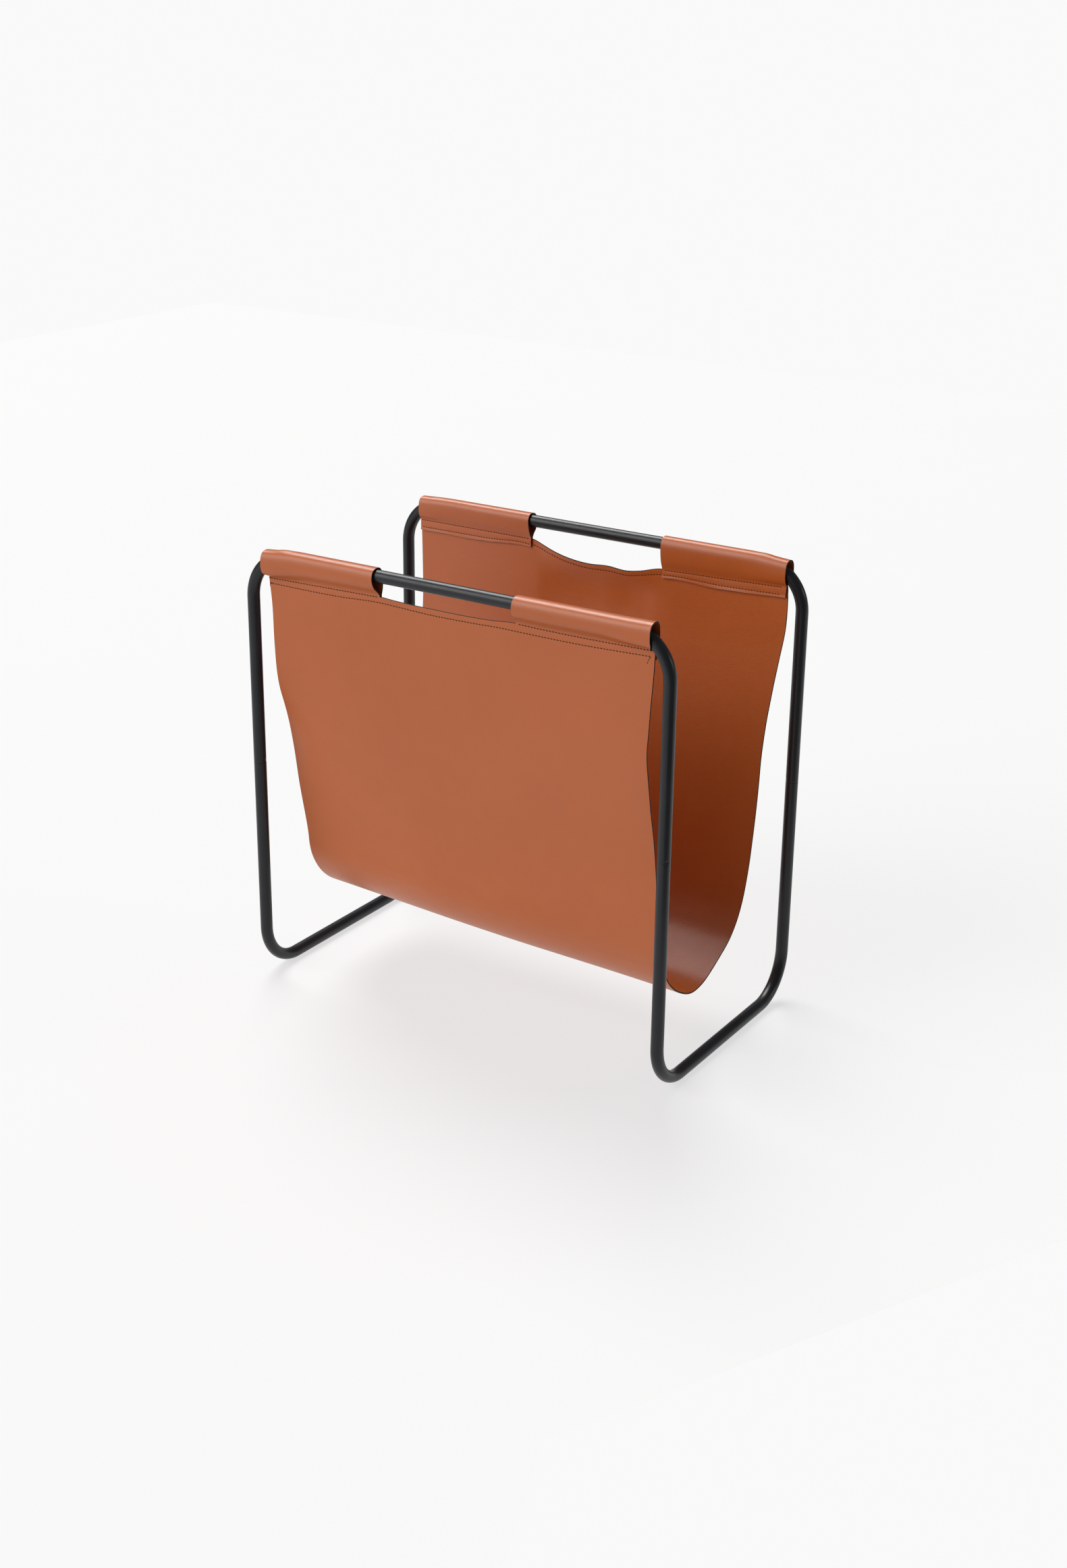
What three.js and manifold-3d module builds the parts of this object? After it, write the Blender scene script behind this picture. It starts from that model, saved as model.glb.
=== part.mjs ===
// Magazine rack: a closed loop of bent steel tube that carries a leather sling. Two upright top hoops
// and two base hoops meet end to end, half way up each leg, over a hidden splice pin. One long sheet of
// leather hangs between the two top bars. Each end of it is folded over its bar, and two rows of
// lockstitch close the fold into a sleeve. A window in the middle of each fold bares the bar as a
// handle.
//
// Frame: millimetres, +Z up, +X along the top bars, origin on the floor under the middle of the rack.

import * as THREE from "three";
import { mergeVertices } from "three/addons/utils/BufferGeometryUtils.js";
import Module from "manifold-3d";

const wasm = await Module();
wasm.setup();

// ---- Driving dimensions -----------------------------------------------------------------------------

const FRAME_LENGTH = 375; // between leg centres, along X
const FRAME_DEPTH = 206; // between leg centres, along Y
const FRAME_HEIGHT = 360; // from base bar centre to top bar centre
const TUBE_RADIUS = 5;
const TUBE_WALL = 1;
const TUBE_SIDES = 20;
const TOP_BEND_RADIUS = 36; // to the tube's centre line
const BASE_BEND_RADIUS = 37;
const BEND_STEPS = 9;
const SPLICE_HEIGHT = 190; // height of the butt joint in each leg
const BUTT_GAP = 0.3;
const FIT_GAP = 0.3; // between touching pieces

const PIN_LENGTH = 50;
const PIN_CHAMFER = 0.8;
const PIN_SIDES = 20;

const LEATHER = 1.2; // thickness of the sheet
const SLING_TOP_WIDTH = 345; // at the seam and over both sleeves
const SLING_LOW_WIDTH = 333; // the sheet draws in a little where it hangs free
const DRAW_IN_START = 330; // height where the sheet starts to draw in
const DRAW_IN_END = 225; // height where it has its lower width
const SEAM_HEIGHT = 349; // where the fold closes under the bar
const PANEL_AT_SEAM = 101.5; // distance of the panel's middle surface from the centre plane, at the seam
const FLAP_AT_SEAM = 99.8; // the same for the flap inside it
const FLAP_END = 338; // height of the flap's free edge
const SLEEVE_FLARE = 357; // the sleeve is widest at this height, which leaves room for the bar's bend
const HANDLE_WINDOW = 124; // length of bare bar between the two sleeves of one side
const WINDOW_EDGE = 348; // height of the panel's cut edge below the bare bar

// Middle line of one side of the hanging panel, from its lowest point up to the seam: [distance from
// the centre plane, height].
const PANEL_PROFILE = [
  [0, 45],
  [27, 48.5],
  [50, 60],
  [66, 82],
  [73, 112],
  [77.5, 155],
  [83.5, 198],
  [91, 236],
  [98, 274],
  [100.8, 310],
  [PANEL_AT_SEAM, SEAM_HEIGHT],
];

const THREAD_THICKNESS = 0.6;
const THREAD_WIDTH = 0.8;
const UPPER_SEAM = 347.5; // heights of the two rows of stitching
const LOWER_SEAM = 342.5;
const SEAM_END_MARGIN = 2; // from the end of a seam to the edge of the leather

// ---- Values that follow from them -------------------------------------------------------------------

const BASE_BAR_Z = TUBE_RADIUS;
const TOP_BAR_Z = BASE_BAR_Z + FRAME_HEIGHT;
const BAR_Y = FRAME_DEPTH / 2;
const LEG_X = FRAME_LENGTH / 2;
const SLEEVE_RADIUS = TUBE_RADIUS + FIT_GAP + LEATHER / 2; // middle line of the leather over the bar

// ---- Materials --------------------------------------------------------------------------------------

const blackPaint = new THREE.MeshStandardMaterial({ color: 0x1d1f21, roughness: 0.42, metalness: 0.0 });
const bareSteel = new THREE.MeshStandardMaterial({ color: 0xa8a9ab, roughness: 0.35, metalness: 1.0 });
const tanLeather = new THREE.MeshStandardMaterial({ color: 0xa9582f, roughness: 0.45, metalness: 0.0 });
const brownThread = new THREE.MeshStandardMaterial({ color: 0x3a1c10, roughness: 0.8, metalness: 0.0 });

// ---- Helpers ----------------------------------------------------------------------------------------

// A closed mesh as a manifold-3d solid.
function solidOf(geometry) {
  const bare = geometry.clone();
  bare.deleteAttribute("normal");
  bare.deleteAttribute("uv");
  const merged = mergeVertices(bare, 1e-3);
  const vertProperties = merged.attributes.position.array;
  const triVerts = new Uint32Array(merged.index.array);
  return new wasm.Manifold(new wasm.Mesh({ numProp: 3, vertProperties, triVerts }));
}

// A manifold-3d solid as a three.js geometry.
function geometryOf(solid) {
  const mesh = solid.getMesh();
  const geometry = new THREE.BufferGeometry();
  geometry.setAttribute("position", new THREE.BufferAttribute(mesh.vertProperties, 3));
  geometry.setIndex(new THREE.BufferAttribute(mesh.triVerts, 1));
  geometry.computeVertexNormals();
  return geometry;
}

// A regular polygon drawn round a circle, with a flat side towards each axis.
function roundSection(radius, sides) {
  const corner = radius / Math.cos(Math.PI / sides);
  return Array.from({ length: sides }, (_, i) => {
    const angle = ((i + 0.5) * 2 * Math.PI) / sides;
    return new THREE.Vector2(corner * Math.cos(angle), corner * Math.sin(angle));
  });
}

// The outline of a strip of the given thickness that follows a line of 2-D points.
function stripOutline(points, thickness) {
  const left = [];
  const right = [];
  points.forEach((point, i) => {
    const before = points[Math.max(i - 1, 0)];
    const after = points[Math.min(i + 1, points.length - 1)];
    const along = after.clone().sub(before).normalize();
    const across = new THREE.Vector2(-along.y, along.x).multiplyScalar(thickness / 2);
    left.push(point.clone().add(across));
    right.unshift(point.clone().sub(across));
  });
  return new THREE.Shape([...right, ...left]);
}

// A box given by its lowest and highest corners, as a solid.
function boxSolid(low, high) {
  const size = new THREE.Vector3().subVectors(high, low);
  const centre = new THREE.Vector3().addVectors(low, high).divideScalar(2);
  return solidOf(new THREE.BoxGeometry(size.x, size.y, size.z).translate(centre.x, centre.y, centre.z));
}

// ---- Tube hoops -------------------------------------------------------------------------------------

// The centre line of a U-shaped hoop in its own XY plane: the bar lies along X at Y 0, and both legs
// rise along +Y. Stations stand only at the ends and along the two bends, because the straights need
// none.
class HoopPath extends THREE.Curve {
  constructor(span, legLength, bendRadius) {
    super();
    this.stations = [];
    const add = (x, y, tx, ty) =>
      this.stations.push({ point: new THREE.Vector3(x, y, 0), tangent: new THREE.Vector3(tx, ty, 0) });
    const bend = (centreX, startAngle) => {
      for (let i = 0; i <= BEND_STEPS; i++) {
        const angle = startAngle + (i / BEND_STEPS) * (Math.PI / 2);
        const x = centreX + bendRadius * Math.cos(angle);
        const y = bendRadius + bendRadius * Math.sin(angle);
        add(x, y, -Math.sin(angle), Math.cos(angle));
      }
    };
    add(-span / 2, legLength, 0, -1);
    bend(-span / 2 + bendRadius, Math.PI);
    bend(span / 2 - bendRadius, 1.5 * Math.PI);
    add(span / 2, legLength, 0, 1);
  }

  get steps() {
    return this.stations.length - 1;
  }

  station(u) {
    return this.stations[Math.round(u * this.steps)];
  }

  getPoint(u) {
    return this.station(u).point.clone();
  }

  getPointAt(u) {
    return this.getPoint(u);
  }

  getTangentAt(u) {
    return this.station(u).tangent.clone();
  }
}

// A hoop of hollow tube along a HoopPath.
function hoopGeometry(span, legLength, bendRadius) {
  const path = new HoopPath(span, legLength, bendRadius);
  const section = new THREE.Shape(roundSection(TUBE_RADIUS, TUBE_SIDES));
  section.holes.push(new THREE.Path(roundSection(TUBE_RADIUS - TUBE_WALL, TUBE_SIDES)));
  return new THREE.ExtrudeGeometry(section, { steps: path.steps, extrudePath: path });
}

// An upright hoop whose bar is the top bar on one side of the rack. side is -1 at the front and 1 at
// the back.
function topHoop(name, side) {
  const legLength = TOP_BAR_Z - SPLICE_HEIGHT - BUTT_GAP / 2;
  const mesh = new THREE.Mesh(hoopGeometry(FRAME_LENGTH, legLength, TOP_BEND_RADIUS), blackPaint);
  mesh.name = name;
  mesh.position.set(0, side * BAR_Y, TOP_BAR_Z);
  mesh.rotation.x = -Math.PI / 2; // the legs hang down
  return mesh;
}

// A hoop whose bar lies on the floor at one end of the rack. side is -1 at the left and 1 at the right.
function baseHoop(name, side) {
  const legLength = SPLICE_HEIGHT - BUTT_GAP / 2 - BASE_BAR_Z;
  const mesh = new THREE.Mesh(hoopGeometry(FRAME_DEPTH, legLength, BASE_BEND_RADIUS), blackPaint);
  mesh.name = name;
  mesh.rotation.x = Math.PI / 2; // the legs stand up
  const turned = new THREE.Group();
  turned.rotation.z = Math.PI / 2; // the bar runs from front to back
  turned.position.set(side * LEG_X, 0, BASE_BAR_Z);
  turned.add(mesh);
  return turned;
}

// ---- Splice pins ------------------------------------------------------------------------------------

// A chamfered round pin inside a leg, half in the top hoop and half in the base hoop.
function splicePin(name, x, y) {
  const radius = TUBE_RADIUS - TUBE_WALL - FIT_GAP;
  const half = PIN_LENGTH / 2;
  const profile = [
    new THREE.Vector2(0, -half),
    new THREE.Vector2(radius - PIN_CHAMFER, -half),
    new THREE.Vector2(radius, -half + PIN_CHAMFER),
    new THREE.Vector2(radius, half - PIN_CHAMFER),
    new THREE.Vector2(radius - PIN_CHAMFER, half),
    new THREE.Vector2(0, half),
  ];
  const mesh = new THREE.Mesh(new THREE.LatheGeometry(profile, PIN_SIDES), bareSteel);
  mesh.name = name;
  mesh.position.set(x, y, SPLICE_HEIGHT);
  mesh.rotation.x = Math.PI / 2; // stand the pin upright
  return mesh;
}

// ---- Leather sling ----------------------------------------------------------------------------------

// The sheet's middle line on the back half, from the lowest point to the flap's free edge: up the
// panel, out and round the bar, and down inside the panel as the flap. x is the distance from the
// centre plane, y the height.
function halfSlingLine() {
  const at = (y, z) => new THREE.Vector2(y, z);
  const outer = BAR_Y + SLEEVE_RADIUS;
  const inner = BAR_Y - SLEEVE_RADIUS;
  const panelSeam = at(PANEL_AT_SEAM, SEAM_HEIGHT);
  const flapSeam = at(FLAP_AT_SEAM, SEAM_HEIGHT);
  const outerFlare = at(outer, SLEEVE_FLARE);
  const innerFlare = at(inner, SLEEVE_FLARE);
  const curves = [
    [new THREE.SplineCurve(PANEL_PROFILE.map(([y, z]) => at(y, z))), 34],
    [new THREE.CubicBezierCurve(panelSeam, at(103, 351), at(outer + 0.6, 350.5), outerFlare), 8],
    [new THREE.EllipseCurve(BAR_Y, TOP_BAR_Z, SLEEVE_RADIUS, SLEEVE_RADIUS, 0, Math.PI), 12],
    [new THREE.CubicBezierCurve(innerFlare, at(inner - 0.2, 352), at(98.9, 351), flapSeam), 7],
    [new THREE.LineCurve(flapSeam, at(FLAP_AT_SEAM, FLAP_END)), 2],
  ];
  const points = curves.flatMap(([curve, divisions]) => curve.getSpacedPoints(divisions));
  return points.filter((point, i) => i === 0 || point.distanceTo(points[i - 1]) > 1e-6);
}

// The whole sheet's middle line, from one flap's free edge to the other's.
function slingLine() {
  const half = halfSlingLine();
  const mirrored = half.slice(1).map((p) => new THREE.Vector2(-p.x, p.y));
  return [...mirrored.reverse(), ...half];
}

// Width of the sheet at a height.
function slingWidth(z) {
  const share = THREE.MathUtils.smoothstep(z, DRAW_IN_END, DRAW_IN_START);
  return THREE.MathUtils.lerp(SLING_LOW_WIDTH, SLING_TOP_WIDTH, share);
}

function slingGeometry() {
  // The outline is drawn in (Y, Z) and extruded along its own normal, which the basis turns onto X.
  const outline = stripOutline(slingLine(), LEATHER);
  const sheet = new THREE.ExtrudeGeometry(outline, { depth: 1, bevelEnabled: false });
  sheet.translate(0, 0, -0.5);
  const axes = [new THREE.Vector3(0, 1, 0), new THREE.Vector3(0, 0, 1), new THREE.Vector3(1, 0, 0)];
  sheet.applyMatrix4(new THREE.Matrix4().makeBasis(...axes));
  const position = sheet.attributes.position;
  for (let i = 0; i < position.count; i++) {
    position.setX(i, position.getX(i) * slingWidth(position.getZ(i)));
  }
  return geometryOf(windowSolids().reduce((solid, window) => solid.subtract(window), solidOf(sheet)));
}

// What is cut away for the two handles: the sleeve round the bar, and the flap below it.
function windowSolids() {
  const half = HANDLE_WINDOW / 2;
  const betweenFlapAndPanel = (PANEL_AT_SEAM + FLAP_AT_SEAM) / 2;
  const reach = 4 * TUBE_RADIUS;
  return [-1, 1].flatMap((side) => {
    const box = (y0, y1, z0, z1) =>
      boxSolid(
        new THREE.Vector3(-half, Math.min(side * y0, side * y1), z0),
        new THREE.Vector3(half, Math.max(side * y0, side * y1), z1),
      );
    return [
      box(BAR_Y - reach, BAR_Y + reach, WINDOW_EDGE, TOP_BAR_Z + reach),
      box(BAR_Y - reach, betweenFlapAndPanel, FLAP_END - 1, WINDOW_EDGE + 1),
    ];
  });
}

function sling() {
  const mesh = new THREE.Mesh(slingGeometry(), tanLeather);
  mesh.name = "leather_sling";
  return mesh;
}

// ---- Stitching --------------------------------------------------------------------------------------

// A thread that lies along a line of [x, y] points at one height.
function thread(name, points, height) {
  const line = points.map(([x, y]) => new THREE.Vector2(x, y));
  const outline = stripOutline(line, THREAD_THICKNESS);
  const geometry = new THREE.ExtrudeGeometry(outline, { depth: THREAD_WIDTH, bevelEnabled: false });
  const mesh = new THREE.Mesh(geometry, brownThread);
  mesh.name = name;
  mesh.position.z = height - THREAD_WIDTH / 2;
  return mesh;
}

// The needle thread and the bobbin thread of each seam on one side of the rack. The needle thread lies
// on the panel's outer face, and the bobbin thread on the flap's inner face.
function stitching(sideName, side) {
  const offFace = LEATHER / 2 + FIT_GAP + THREAD_THICKNESS / 2;
  const outside = side * (PANEL_AT_SEAM + offFace);
  const onFlap = side * (FLAP_AT_SEAM - offFace);
  const onPanel = side * (PANEL_AT_SEAM - offFace);
  const windowEnd = HANDLE_WINDOW / 2;
  const seamEnd = SLING_TOP_WIDTH / 2 - SEAM_END_MARGIN;
  const step = PANEL_AT_SEAM - FLAP_AT_SEAM;
  const threads = [];
  for (const [end, sign] of [["left", -1], ["right", 1]]) {
    const ends = [sign * (windowEnd + SEAM_END_MARGIN), sign * seamEnd].sort((a, b) => a - b);
    const name = `${sideName}_upper_seam_${end}`;
    threads.push(thread(`${name}_needle_thread`, ends.map((x) => [x, outside]), UPPER_SEAM));
    threads.push(thread(`${name}_bobbin_thread`, ends.map((x) => [x, onFlap]), UPPER_SEAM));
  }
  const name = `${sideName}_lower_seam`;
  const needleLine = [[-seamEnd, outside], [seamEnd, outside]];
  // Between the sleeves the flap is missing, and the bobbin thread steps onto the panel itself.
  const bobbinLine = [
    [-seamEnd, onFlap],
    [-windowEnd, onFlap],
    [-windowEnd + step, onPanel],
    [windowEnd - step, onPanel],
    [windowEnd, onFlap],
    [seamEnd, onFlap],
  ];
  threads.push(thread(`${name}_needle_thread`, needleLine, LOWER_SEAM));
  threads.push(thread(`${name}_bobbin_thread`, bobbinLine, LOWER_SEAM));
  return threads;
}

// ---- The rack ---------------------------------------------------------------------------------------

const rack = new THREE.Group();
for (const [sideName, side] of [["front", -1], ["back", 1]]) {
  rack.add(topHoop(`${sideName}_top_hoop`, side));
  for (const [endName, end] of [["left", -1], ["right", 1]]) {
    rack.add(splicePin(`${sideName}_${endName}_splice_pin`, end * LEG_X, side * BAR_Y));
  }
  rack.add(...stitching(sideName, side));
}
rack.add(baseHoop("left_base_hoop", -1), baseHoop("right_base_hoop", 1));
rack.add(sling());

export default rack;
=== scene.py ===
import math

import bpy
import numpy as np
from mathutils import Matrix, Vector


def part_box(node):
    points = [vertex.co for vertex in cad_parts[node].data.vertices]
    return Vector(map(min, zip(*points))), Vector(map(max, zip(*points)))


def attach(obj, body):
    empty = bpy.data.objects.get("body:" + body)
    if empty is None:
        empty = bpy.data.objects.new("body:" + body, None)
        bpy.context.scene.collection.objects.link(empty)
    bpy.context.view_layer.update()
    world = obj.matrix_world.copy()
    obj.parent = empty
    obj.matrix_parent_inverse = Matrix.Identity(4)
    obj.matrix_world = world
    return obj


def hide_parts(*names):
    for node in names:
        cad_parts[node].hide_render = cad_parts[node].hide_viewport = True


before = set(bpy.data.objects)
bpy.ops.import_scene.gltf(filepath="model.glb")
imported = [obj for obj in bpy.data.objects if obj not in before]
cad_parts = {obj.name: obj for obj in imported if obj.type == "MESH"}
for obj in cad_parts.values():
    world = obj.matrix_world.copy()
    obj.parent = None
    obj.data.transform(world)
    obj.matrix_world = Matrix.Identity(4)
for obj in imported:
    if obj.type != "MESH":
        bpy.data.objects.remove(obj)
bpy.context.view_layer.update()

# The looks of a magazine rack: a leather sling that hangs from a frame of bent black tube.
#
# The CAD frame is the reference, in metres, +Z up, with the front panel at -Y. Every size below is
# worked out from its boxes or is a named value in millimetres, and MM turns it into metres. The
# hoops, the sling and the stitching are made here at a finer grain than in CAD, in the same places.

MM = 0.001

# ---- Sizes from the CAD frame --------------------------------------------------------------------

hoop_lo, hoop_hi = (Vector(c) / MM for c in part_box("front_top_hoop"))
base_lo, base_hi = (Vector(c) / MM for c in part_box("left_base_hoop"))
sling_lo, _ = (Vector(c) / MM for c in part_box("leather_sling"))

TUBE_R = (hoop_hi.y - hoop_lo.y) / 2
BAR_Y = -(hoop_hi.y + hoop_lo.y) / 2
BAR_Z = hoop_hi.z - TUBE_R
LEG_X = hoop_hi.x - TUBE_R
BASE_Z = base_lo.z + TUBE_R
SPLICE_LOW = base_hi.z  # the two tube ends that meet in each leg
SPLICE_HIGH = hoop_lo.z
SHEET_LOW = sling_lo.z

# ---- Sizes of the finer detail -------------------------------------------------------------------

TUBE_WALL = 1.0
TOP_BEND_R = 36.0
BASE_BEND_R = 37.0
TUBE_SIDES = 56
BEND_STEPS = 26
BEND_FLATTENING = 0.03  # a bent tube goes slightly oval
JOINT_GAP = 0.04
JOINT_SWELL = 0.07  # the paint stands this much proud beside a joint
JOINT_GROOVE = 0.10  # depth of the groove in it
JOINT_RISE = {(-1, 1): 4.5}  # of one leg's joint over the others, by side and end

# Pits in the paint near each leg's joint: (direction in degrees with 0 at +X, height over the joint,
# size, depth), by side and end.
JOINT_PITS = {
    (-1, -1): [(28, 1.4, 1.1, 0.42), (-8, 1.8, 0.8, 0.30), (-20, -1.6, 0.7, 0.16), (150, 0.8, 0.9, 0.25)],
    (-1, 1): [(-36, 0.8, 0.9, 0.45), (-40, -1.4, 0.7, 0.25), (24, 1.4, 0.8, 0.35), (18, -0.8, 0.6, 0.25)],
    (1, 1): [(214, 0.9, 1.0, 0.45), (222, -0.9, 0.8, 0.28), (32, 0.4, 0.9, 0.30)],
    (1, -1): [(200, 0.7, 0.9, 0.30), (80, -0.9, 0.8, 0.25)],
}

LEATHER = 1.2
SLEEVE_FIT = 0.1  # between the bar and the leather round it
EDGE_ROUNDING = 0.25
SEAM_Z = 349.0  # where the fold closes, before the seams' own wander
PANEL_SEAM_Y = 101.5
FLAP_SEAM_Y = 99.8
FLAP_LENGTH = 10.0  # as cut. What hangs of it varies from place to place
FLAP_MARGIN = 2.5  # from the lower row of stitches down to the flap's free edge
WINDOW_DROP = 1.2  # the window is cut this far below the fold's seam
SLEEVE_HALF_WIDTH = {(-1, -1): 173.2, (-1, 1): 174, (1, -1): 171.4, (1, 1): 174.8}  # by side and end
SLEEVE_DROOP = {-1: (3.0, -0.5), 1: (1.4, 2.6)}  # of the sleeves' left and right ends, over the bar's bends
WINDOW = {-1: (-64.8, 57.8), 1: (-59.8, 64.9)}  # ends of the handle windows at the seam, front and back
WINDOW_FLARE = {-1: (1.4, 1.4), 1: (1.4, -0.6)}  # the window is this much longer at each end over the bar

STITCH_PITCH = 2.6
STITCH_LENGTH = 1.95
STITCH_PULL = 0.22  # how far a row of stitches pulls each face in
PULL_SPREAD = 1.1
THREAD_R = 0.29
THREAD_SINK = 0.2  # of the thread's ends below the face
UPPER_ROW_DROP = 1.6  # of the upper row below the fold's seam
UPPER_ROW_END = 170.8  # ends of the rows, from the middle
LOWER_ROW_END = 169.8
ROW_TO_WINDOW = 2.0

# Half widths of the sheet against height: (height, half width), for each side and end.
EDGE_WIDTHS = {
    (-1, -1): [(45, 164), (85, 164.2), (118, 165.0), (145, 167.0), (174, 169.0), (207, 169.6), (226, 169.0),
               (240, 169.3), (254, 170.2), (272, 170.3), (293, 169.8), (323, 169.4), (349, 172)],
    (-1, 1): [(45, 167), (105, 166.2), (148, 167.1), (200, 167.5), (220, 167.5), (251, 168.8), (271, 169.4),
              (290, 171.2), (309, 172.2), (336, 173.5), (349, 174)],
    (1, -1): [(45, 164), (100, 165), (150, 167), (200, 167.5), (250, 168.5), (290, 169.6), (320, 170.6),
              (349, 172.2)],
    (1, 1): [(45, 167), (79, 166), (105, 166.6), (132, 167.8), (159, 168.2), (186, 167.9), (212, 167),
             (237, 167.4), (263, 169.3), (290, 172.1), (317, 175.4), (336, 175.6), (349, 175)],
}

# Height of the fold's seam along the bar: (x, height). In the window the cut edge runs WINDOW_DROP
# below it.
SEAM_HEIGHTS = {
    -1: [(-176, 347.6), (-105, 349), (-75, 349.6), (-64, 349.7), (-54, 349.1), (-41, 348.5), (-17, 348.2),
         (20, 348.4), (40, 349.4), (50, 350.4), (58, 350.8), (80, 350.6), (113, 350.6), (176, 351.6)],
    1: [(-176, 352), (-105, 352), (-75, 351.9), (-60, 351.4), (-50, 348.2), (-38, 344.6), (-21, 341),
        (-4, 339.6), (15, 340.6), (32, 339.4), (45, 341.4), (60, 345.2), (80, 346.4), (121, 347.6),
        (176, 349.6)],
}
# Height of the lower row of stitches along the bar: (x, height).
LOWER_ROW = {
    -1: [(-172, 341.9), (-105, 342.2), (-62, 344), (-45, 343.4), (-29, 342.7), (20, 342.9), (44, 343.7),
         (59, 343.6), (113, 343.6), (172, 345.6)],
    1: [(-172, 344.4), (-105, 344.6), (-57, 345), (-38, 339.8), (-21, 336.2), (-4, 334.6), (15, 335.4),
        (34, 334.6), (45, 336.8), (60, 339.5), (121, 340.3), (172, 341.9)],
}

# Loose ends of thread at the ends of the front panel's lower row: (x values, heights).
FRONT_TAILS = [
    ([169.6, 168.6, 167.8, 167.4], [345.2, 343.6, 341.7, 339.7]),
    ([-169.9, -168.3, -166.6], [342.6, 341.5, 342.7]),
]

# Places where a panel's edge curls: (side, end, height, spread of heights, reach from the edge,
# distance outwards).
EDGE_CURLS = [
    (-1, -1, 262, 20, 34, 0.8),
    (-1, -1, 200, 38, 20, -3.4),
    (-1, 1, 268, 30, 34, 1.6),
    (-1, 1, 170, 46, 34, -1.2),
    (1, 1, 305, 26, 34, 1.2),
    (1, 1, 232, 34, 34, 0.6),
    (1, -1, 240, 40, 34, -1.5),
]

# How far the sheet's lowest line is lifted: (x, lift).
SHEET_LIFT = [(-176, 14.0), (-90, 10.0), (20, 5.4), (120, 2.4), (176, 0.2)]

# The bottom is skewed at the sheet's right end: (distance from the centre plane, height), by side.
RIGHT_BOTTOM = {
    -1: [(0, 44.0), (12, 43.8), (24.5, 48.0), (40, 57.4), (53, 71), (63, 90), (70, 113)],
    1: [(0, 44.0), (12, 47.1), (33, 56.6), (49, 65.2), (61, 77), (68.5, 92), (72.6, 112)],
}


# ---- Small maths ---------------------------------------------------------------------------------

def smoothstep(low, high, x):
    t = np.clip((x - low) / (high - low), 0, 1)
    return t * t * (3 - 2 * t)


def spline(points, before=None):
    """Catmull-Rom curve through 2-D points, evenly spaced along its length. before is the point that
    the curve would come from, and sets its direction at the start."""
    p = np.array(points, float)
    p = np.vstack([2 * p[0] - p[1] if before is None else before, p, 2 * p[-1] - p[-2]])
    t = np.linspace(0, 1, 24, endpoint=False)[:, None]
    spans = []
    for a, b, c, d in zip(p, p[1:], p[2:], p[3:]):
        squared, cubed = 2 * a - 5 * b + 4 * c - d, 3 * (b - c) + d - a
        spans.append(0.5 * (2 * b + (c - a) * t + squared * t**2 + cubed * t**3))
    line = np.vstack([*spans, p[-2:-1]])
    return even(line, len(line))


def even(line, count):
    """The polyline with count points, evenly spaced along its length."""
    run = np.concatenate([[0], np.cumsum(np.linalg.norm(np.diff(line, axis=0), axis=1))])
    at = np.linspace(0, run[-1], count)
    return np.column_stack([np.interp(at, run, line[:, k]) for k in range(line.shape[1])])


def table(pairs, x):
    """A smooth curve through (x, value) pairs, read at x."""
    xs, ys = np.array(pairs, float).T
    slopes = np.gradient(ys, xs)
    i = np.clip(np.searchsorted(xs, x) - 1, 0, len(xs) - 2)
    h = xs[i + 1] - xs[i]
    t = np.clip((x - xs[i]) / h, 0, 1)
    low = ys[i] * (1 + 2 * t) * (1 - t) ** 2 + slopes[i] * h * t * (1 - t) ** 2
    high = ys[i + 1] * t * t * (3 - 2 * t) - slopes[i + 1] * h * t * t * (1 - t)
    return low + high


def unit(v):
    return v / np.maximum(np.linalg.norm(v, axis=-1, keepdims=True), 1e-12)


# ---- Materials -----------------------------------------------------------------------------------

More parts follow.
